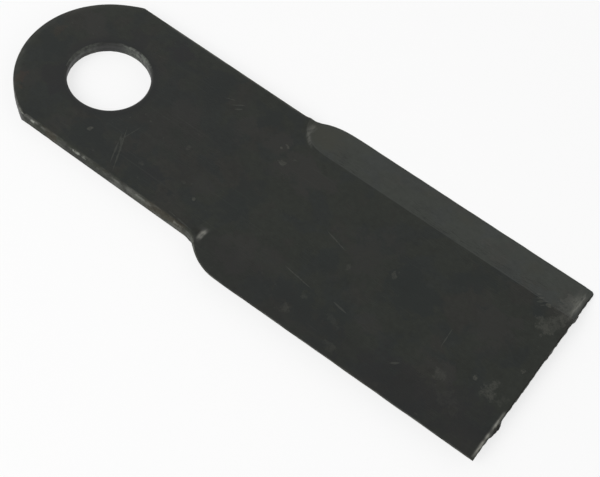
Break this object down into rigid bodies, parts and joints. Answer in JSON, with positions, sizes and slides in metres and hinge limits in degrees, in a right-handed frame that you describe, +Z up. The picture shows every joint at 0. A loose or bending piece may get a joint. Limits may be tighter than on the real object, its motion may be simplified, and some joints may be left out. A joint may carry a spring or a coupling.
{
  "type": "mulcher blade",
  "caption": "Flat swinging mulcher blade: round head with a pivot hole, plain shank, and a wider blade with a cutting wedge pressed into each long edge, one above and one below.",
  "frame": {"origin": "centre of the pivot hole on the blade's lower face", "axes": "+X from the pivot hole along the blade to the sheared tip, +Y towards the edge whose wedge is pressed from above, +Z up through the thickness"},
  "size_m": [0.1958, 0.075, 0.004],
  "materials": {
    "steel": "dark grey forging scale with a dull sheen, brighter and finely streaked on the pressed wedges, bare along worn edges, with small rust-brown spots"
  },
  "bodies": {
    "root": {"mulcher_blade": "steel"}
  },
  "joints": []
}
